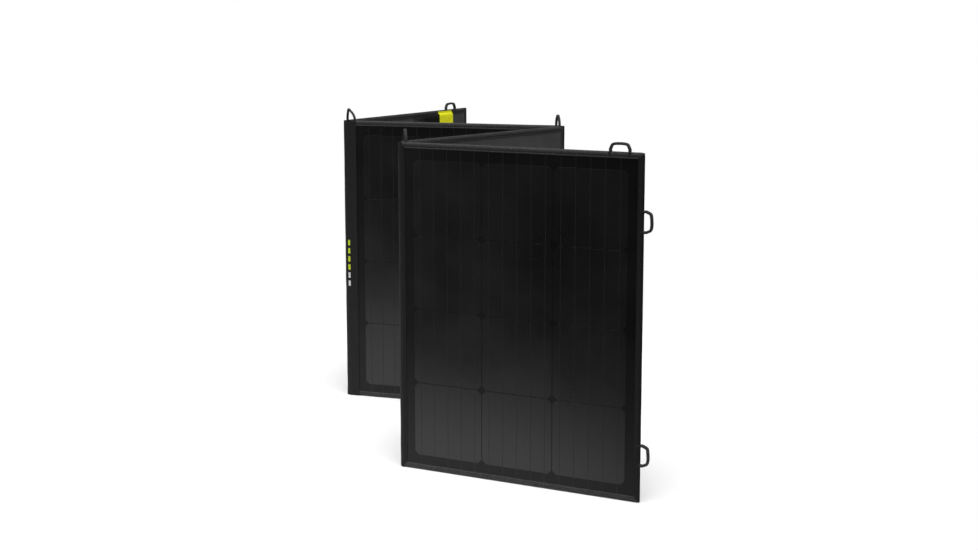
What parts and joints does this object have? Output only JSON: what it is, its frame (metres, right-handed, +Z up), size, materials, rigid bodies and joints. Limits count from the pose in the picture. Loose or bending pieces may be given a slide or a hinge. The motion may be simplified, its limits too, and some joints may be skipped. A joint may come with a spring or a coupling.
{
  "type": "folding solar panel kit",
  "caption": "Fabric-edged solar panels joined by sewn folds into a zig-zag that stands up or folds flat, with webbing loops and a cable pocket.",
  "frame": {"origin": "centre of the bounding box, on the floor that the panels stand on", "axes": "+Z up, +Y away from the viewer along the zig-zag, +X to the right as the first panel's cells are seen"},
  "size_m": [0.6912, 1.3182, 0.7453],
  "materials": {
    "front_film": "matt dimpled film",
    "tinned_ribbon": "dull",
    "solar_cell": "satin",
    "backsheet": "matt",
    "stiffener": "matt",
    "back_fabric": "plain weave",
    "binding_tape": "ribbed tape",
    "fold_fabric": "plain weave",
    "webbing": "ribbed webbing",
    "pocket_fabric": "plain weave",
    "lime_webbing": "bright woven tab",
    "hook_tape": "hooked",
    "loop_tape": "looped pile",
    "black_plastic": "moulded",
    "circuit_board": "satin",
    "lead_jacket": "matt",
    "batten": "matt"
  },
  "bodies": {
    "panel_2": {"panel_2_front_film": "front_film", "panel_2_ribbons": "tinned_ribbon", "panel_2_cells": "solar_cell", "panel_2_backsheet": "backsheet", "panel_2_stiffener": "stiffener", "panel_2_back_cover": "back_fabric", "panel_2_binding": "binding_tape", "fold_a_sleeve": "fold_fabric", "fold_a_lead": "lead_jacket", "fold_c_sleeve": "fold_fabric", "fold_c_lead": "lead_jacket", "fold_a_loop": "webbing", "fold_c_loop": "webbing"},
    "panel_1": {"panel_1_front_film": "front_film", "panel_1_ribbons": "tinned_ribbon", "panel_1_cells": "solar_cell", "panel_1_backsheet": "backsheet", "panel_1_stiffener": "stiffener", "panel_1_back_cover": "back_fabric", "panel_1_binding": "binding_tape", "panel_1_top_loop": "webbing", "panel_1_upper_side_loop": "webbing", "panel_1_lower_side_loop": "webbing"},
    "panel_3": {"panel_3_front_film": "front_film", "panel_3_ribbons": "tinned_ribbon", "panel_3_cells": "solar_cell", "panel_3_backsheet": "backsheet", "panel_3_stiffener": "stiffener", "panel_3_back_cover": "back_fabric", "panel_3_binding": "binding_tape"},
    "spine": {"spine_cover": "fold_fabric", "spine_batten": "batten", "spine_front_sleeve": "fold_fabric", "spine_front_lead": "lead_jacket", "spine_rear_sleeve": "fold_fabric", "spine_rear_lead": "lead_jacket", "fold_d_loop": "webbing"},
    "panel_4": {"panel_4_front_film": "front_film", "panel_4_ribbons": "tinned_ribbon", "panel_4_cells": "solar_cell", "panel_4_backsheet": "backsheet", "panel_4_stiffener": "stiffener", "panel_4_back_cover": "back_fabric", "panel_4_binding": "binding_tape", "panel_4_top_loop": "webbing", "panel_4_upper_side_loop": "webbing", "panel_4_lower_side_loop": "webbing", "pocket": "pocket_fabric", "pocket_loop_patch": "loop_tape", "junction_box_base": "black_plastic", "junction_box_lid": "black_plastic", "bypass_diode_board": "circuit_board", "cable_gland": "black_plastic"},
    "closure_tab": {"closure_tab": "lime_webbing", "tab_hook_patch": "hook_tape"}
  },
  "joints": [
    {"name": "fold_a", "type": "hinge", "parent": "panel_2", "child": "panel_1", "pos_m": [-0.16793, -0.40768, 0], "axis": [0, 0, 1], "range_deg": [-106.9, 73.1]},
    {"name": "fold_c", "type": "hinge", "parent": "panel_2", "child": "panel_3", "pos_m": [0.19698, 0.00524, 0], "axis": [0, 0, 1], "range_deg": [-115.5, 64.5]},
    {"name": "spine_front_fold", "type": "hinge", "parent": "panel_3", "child": "spine", "pos_m": [-0.32819, 0.17215, 0], "axis": [0, 0, -1], "range_deg": [-5, 73.9]},
    {"name": "spine_rear_fold", "type": "hinge", "parent": "spine", "child": "panel_4", "pos_m": [-0.34119, 0.17735, 0], "axis": [0, 0, -1], "range_deg": [-101.1, 0]},
    {"name": "closure_tab_lift", "type": "hinge", "parent": "panel_4", "child": "closure_tab", "pos_m": [-0.10307, 0.54497, 0.708], "axis": [0.5432, 0.8396, 0], "range_deg": [-110, 0]}
  ]
}
